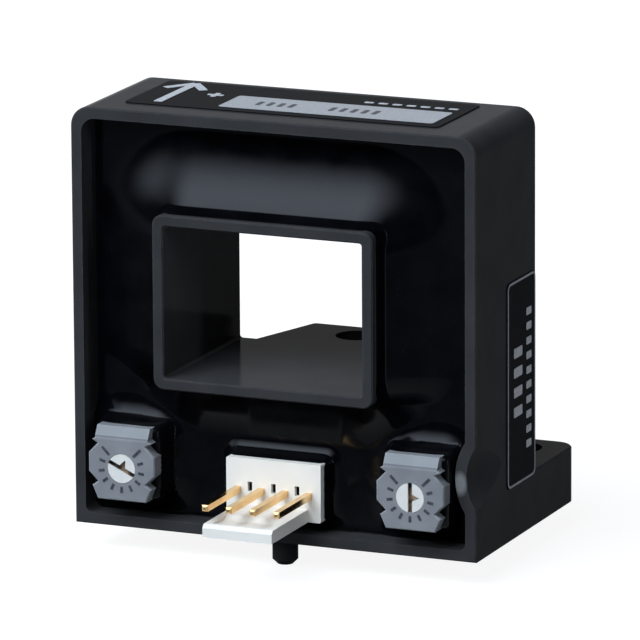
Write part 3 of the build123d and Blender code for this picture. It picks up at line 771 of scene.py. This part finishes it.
inner = rounded_outline(-tunnel_half[0], tunnel_half[0], tunnel_middle_z - tunnel_half[1],
                        tunnel_middle_z + tunnel_half[1], tunnel_radius)
outer = rounded_outline(case_low.x + wall_thickness, case_high.x - wall_thickness, wall_thickness,
                        case_high.z - wall_thickness, case_radius)
around = len(inner)
start_piece()
bpy.ops.mesh.primitive_grid_add(x_subdivisions=around, y_subdivisions=ring_steps, size=1)
resin_piece = name_piece("resin_surface")
for vertex in resin_piece.data.vertices:
    column = round((vertex.co.x + 0.5) * around) % around
    row = vertex.co.y + 0.5
    share = (exp(ring_growth * row) - 1) / (exp(ring_growth) - 1)
    x = inner[column][0] + (outer[column][0] - inner[column][0]) * share
    z = inner[column][1] + (outer[column][1] - inner[column][1]) * share
    vertex.co = (x, resin_level_y - resin_height(x, z), z)
print(around, "columns,", ring_steps, "rows")

# %% [markdown]
# Then the sheet gets its thickness: both rims are extruded straight back, flattened onto one plane
# just in front of the board, and bridged, which closes it into a solid.

# %% Close the resin into a solid
resin_back_y = resin_level_y + 0.5 * MM
bpy.ops.object.mode_set(mode="EDIT")
bpy.ops.mesh.select_mode(type="VERT")
bpy.ops.mesh.select_all(action="SELECT")
bpy.ops.mesh.remove_doubles(threshold=0.0001 * MM)
bpy.ops.mesh.select_all(action="DESELECT")
bpy.ops.mesh.select_mode(type="EDGE")
bpy.ops.mesh.select_non_manifold()
bpy.ops.mesh.extrude_edges_move(TRANSFORM_OT_translate={"value": (0, 0.1 * MM, 0)})
bpy.ops.transform.resize(value=(1, 0, 1), center_override=(0, resin_back_y, 0))
bpy.ops.mesh.bridge_edge_loops()
finish_piece(resin_piece, "sensor", angle=80)
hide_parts("potting_resin")

# %% [markdown]
# The resin itself is black epoxy with a glossy, slightly uneven skin. It keeps a low sheen, so
# that the white room stays faint in it and only the soft boxes show.

# %% Dress the resin
cast_resin, tree, shader = new_material("cast_resin", ior=1.19)
tone = place_group(tree, tone_group, "Tone", Clouds_per_mm=0.35, Contrast=1.0)
speck = place_group(tree, dust_group, "Mask", Specks_per_mm=2.0, Amount=0.35)
black = blend(tree, tone, (0.0012, 0.0012, 0.0016), (0.0032, 0.0032, 0.0042))
feed(tree, shader, blend(tree, speck, black, (0.05, 0.05, 0.055)),
     spread(tree, tone, 0, 1, 0.10, 0.17))
bump(tree, shader, noise(tree, object_place(tree), 0.25 / MM, 1.0), 0.12, 0.12 * MM)
resin_piece.data.materials.append(cast_resin)
dress(cast_resin, "potting_resin")

# %% [markdown]
# ## Print on the top label
# A pale strip, an arrow for the direction of the current and a plus sign are printed on the top
# label. Ink stands a few hundredths of a millimetre above the film. Each mark is a thin bar with
# eased corners, laid along a line between two points, and the arrow is three of them joined.

# %% Helper for printed bars
ink_height = 0.03 * MM


def edges_along(piece, axis):
    """Test for the edges that run along an axis."""
    def runs_along(edge):
        start, end = (piece.data.vertices[index].co for index in edge.vertices)
        return abs(start[axis] - end[axis]) > ink_height / 2
    return runs_along


def printed_bar(name, start, end, width, base, height, ease=0.1 * MM):
    """Thin bar on a level face, from start to end, with eased corners in plan."""
    start = Vector(start)
    run = Vector(end) - start
    middle = start + run / 2
    start_piece()
    bpy.ops.mesh.primitive_cube_add(size=1, location=(middle.x, middle.y, base + height / 2))
    bpy.context.object.scale = (run.length, width, height)
    bpy.context.object.rotation_euler = (0, 0, run.to_2d().angle_signed(Vector((1, 0)), 0))
    piece = name_piece(name)
    pick(piece, "EDGE", edges_along(piece, 2))
    bpy.ops.mesh.bevel(offset=min(ease, width * 0.45), segments=3)
    bpy.ops.object.mode_set(mode="OBJECT")
    return piece


def join_pieces(name, pieces):
    """Joins pieces into one mesh."""
    start_piece()
    for piece in pieces:
        piece.select_set(True)
    bpy.context.view_layer.objects.active = pieces[0]
    if len(pieces) > 1:
        bpy.ops.object.join()
    pieces[0].name = name
    return pieces[0]


# %% Print the strip, the arrow and the plus sign
top_z = label_high.z
strip_y = 4.25 * MM
strip_width = 5.5 * MM
strip = printed_bar("label_strip", (-7.6 * MM, strip_y, 0), (15.3 * MM, strip_y, 0), strip_width,
                    top_z, ink_height, 0.35 * MM)
finish_piece(strip, "sensor")

arrow_x = -14.1 * MM
arrow_width = 0.9 * MM
head_half = 2.1 * MM
head_y = 8.1 * MM
tip_y = 10.9 * MM
tip = (arrow_x, tip_y, 0)
arrow = join_pieces("label_arrow", [
    printed_bar("arrow_shaft", (arrow_x, 1.5 * MM, 0), (arrow_x, tip_y - 0.5 * MM, 0), arrow_width,
                top_z, ink_height),
    printed_bar("arrow_left", (arrow_x - head_half, head_y, 0), tip, arrow_width, top_z,
                ink_height * 1.1),
    printed_bar("arrow_right", (arrow_x + head_half, head_y, 0), tip, arrow_width, top_z,
                ink_height * 1.2)])
finish_piece(arrow, "sensor")

plus_x = -10.0 * MM
plus_y = 6.5 * MM
plus_arm = 0.85 * MM
plus_width = 0.55 * MM
plus = join_pieces("label_plus", [
    printed_bar("plus_across", (plus_x - plus_arm, plus_y, 0), (plus_x + plus_arm, plus_y, 0),
                plus_width, top_z, ink_height),
    printed_bar("plus_along", (plus_x, plus_y - plus_arm, 0), (plus_x, plus_y + plus_arm, 0),
                plus_width, top_z, ink_height * 1.1)])
finish_piece(plus, "sensor")

# %% [markdown]
# The strip is a field for markings. Here it carries only two groups of plain dark dashes, and a
# row of pale dashes follows on the film behind it.

# %% Print the plain dashes
dash_ease = 0.12 * MM
stroke_pitch = 1.15 * MM
dashes = []
for group_x, count in ((-4.2 * MM, 4), (3.6 * MM, 5)):
    for index in range(count):
        x = group_x + index * stroke_pitch
        dashes.append(printed_bar("dash", (x, 3.4 * MM, 0), (x, 5.0 * MM, 0), 0.5 * MM,
                                  top_z + ink_height, ink_height, dash_ease))
strip_dashes = join_pieces("strip_dashes", dashes)
finish_piece(strip_dashes, "sensor")

row_y = 8.6 * MM
dash_pitch = 1.5 * MM
dash_length = 0.95 * MM
dashes = []
for index in range(7):
    x = 5.2 * MM + index * dash_pitch
    dashes.append(printed_bar("dash", (x, row_y, 0), (x + dash_length, row_y, 0), 0.55 * MM,
                              top_z, ink_height, dash_ease))
film_dashes = join_pieces("film_dashes", dashes)
finish_piece(film_dashes, "sensor")

# %% [markdown]
# ## Print on the side label
# A thin pale frame runs round the side label. It starts as a flat plate, whose corners are bevelled
# in plan, and an inset leaves the frame when the middle is deleted. Two columns of plain marks
# fill it.

# %% Frame the side label
side_x = side_high.x
side_middle = (side_low + side_high) / 2
side_size = side_high - side_low
frame_margin = 0.05 * MM
frame_width = 0.22 * MM
start_piece()
side_place = (side_x + ink_height, side_middle.y, side_middle.z)
bpy.ops.mesh.primitive_plane_add(size=1, location=side_place, rotation=(0, pi / 2, 0))
bpy.context.object.scale = (side_size.z - 2 * frame_margin, side_size.y - 2 * frame_margin, 1)
side_frame = name_piece("side_frame")
pick(side_frame, "VERT", lambda vertex: True)
bpy.ops.mesh.bevel(offset=0.7 * MM, segments=5, affect="VERTICES")
bpy.ops.mesh.select_mode(type="FACE")
bpy.ops.mesh.select_all(action="SELECT")
bpy.ops.mesh.inset(thickness=frame_width)
bpy.ops.mesh.delete(type="FACE")
bpy.ops.mesh.select_all(action="SELECT")
bpy.ops.mesh.extrude_region_move(TRANSFORM_OT_translate={"value": (-ink_height, 0, 0)})
finish_piece(side_frame, "sensor")


# %% Print the marks in the side label
def side_mark(y, z, length, width):
    """Plain block of ink on the right wall's label."""
    start_piece()
    bpy.ops.mesh.primitive_cube_add(size=1, location=(side_x + ink_height / 2, y, z))
    bpy.context.object.scale = (ink_height, length, width)
    piece = name_piece("side_mark")
    pick(piece, "EDGE", edges_along(piece, 0))
    bpy.ops.mesh.bevel(offset=dash_ease, segments=3)
    bpy.ops.object.mode_set(mode="OBJECT")
    return piece


mark_columns = (  # count, y, lowest z, pitch, length, width, in millimetres
    (4, 8.0, 12.9, 2.0, 2.2, 1.0),
    (10, 10.9, 9.0, 1.5, 1.3, 0.75))
marks = []
for count, y, first_z, pitch, length, width in mark_columns:
    for index in range(count):
        marks.append(side_mark(y * MM, (first_z + index * pitch) * MM, length * MM, width * MM))
side_marks = join_pieces("side_marks", marks)
finish_piece(side_marks, "sensor")

# %% [markdown]
# ## Ink and foil
# The strip is silvery foil, the marks are pale ink that the press laid unevenly, and the dashes on
# the strip are dark ink.


# %% Dress the print
def ink(name, dark, light, roughness):
    """Printed ink with a patchy tone."""
    material, tree, shader = new_material(name, ior=1.3)
    tone = place_group(tree, tone_group, "Tone", Clouds_per_mm=2.5, Contrast=1.2)
    feed(tree, shader, blend(tree, tone, dark, light),
         spread(tree, tone, 0, 1, roughness, roughness + 0.15))
    bump(tree, shader, place_group(tree, grain_group, "Height", Bumps_per_mm=10.0), 0.2, 0.005 * MM)
    return material


strip_foil = ink("strip_foil", (0.28, 0.29, 0.30), (0.39, 0.40, 0.41), 0.4)
strip.data.materials.append(strip_foil)
pale_ink = ink("pale_ink", (0.42, 0.42, 0.43), (0.58, 0.58, 0.59), 0.5)
for piece in (arrow, plus, film_dashes, side_marks):
    piece.data.materials.append(pale_ink)
frame_ink = ink("frame_ink", (0.20, 0.20, 0.22), (0.34, 0.34, 0.36), 0.5)
side_frame.data.materials.append(frame_ink)
dark_ink = ink("dark_ink", (0.03, 0.03, 0.035), (0.07, 0.07, 0.08), 0.5)
strip_dashes.data.materials.append(dark_ink)
print("print dressed")

# %% [markdown]
# ## Scales on the trimmers
# Each trimmer has eleven fine strokes round its rotor, a plain scale that is open at the top, with
# its first and last strokes longer. A loop makes them: each is a small bar on the trimmer's face,
# turned about the rotor's axis, with an inset round its front.

# %% Print the scales
stroke_count = 11
scale_start = radians(135)
scale_sweep = radians(270)
stroke_inner = 1.85 * MM
stroke_length = 0.64 * MM
end_stroke_length = 1.1 * MM
stroke_width = 0.28 * MM
face_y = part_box("gain_trimmer_body")[0].y


def scale_stroke(middle, angle, length):
    """One radial stroke of a scale, printed on the trimmer's face."""
    reach = stroke_inner + length / 2
    place = (middle.x + reach * cos(angle), face_y - ink_height / 2, middle.z + reach * sin(angle))
    start_piece()
    bpy.ops.mesh.primitive_cube_add(size=1, location=place)
    bpy.context.object.scale = (length, ink_height, stroke_width)
    bpy.context.object.rotation_euler = (0, -angle, 0)
    piece = name_piece("stroke")
    pick(piece, "FACE", lambda face: face.normal.y < -0.9)
    bpy.ops.mesh.inset(thickness=0.02 * MM)
    bpy.ops.object.mode_set(mode="OBJECT")
    return piece


scale_ink = ink("scale_ink", (0.035, 0.035, 0.04), (0.08, 0.08, 0.09), 0.5)
for side in ("offset", "gain"):
    low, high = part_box(f"{side}_trimmer_rotor")
    middle = (low + high) / 2
    strokes = []
    for index in range(stroke_count):
        angle = scale_start + scale_sweep * index / (stroke_count - 1)
        at_end = index in (0, stroke_count - 1)
        strokes.append(scale_stroke(middle, angle, end_stroke_length if at_end else stroke_length))
    scale = join_pieces(f"{side}_scale", strokes)
    finish_piece(scale, "sensor")
    scale.data.materials.append(scale_ink)

# %% [markdown]
# ## Close

print("scene built")
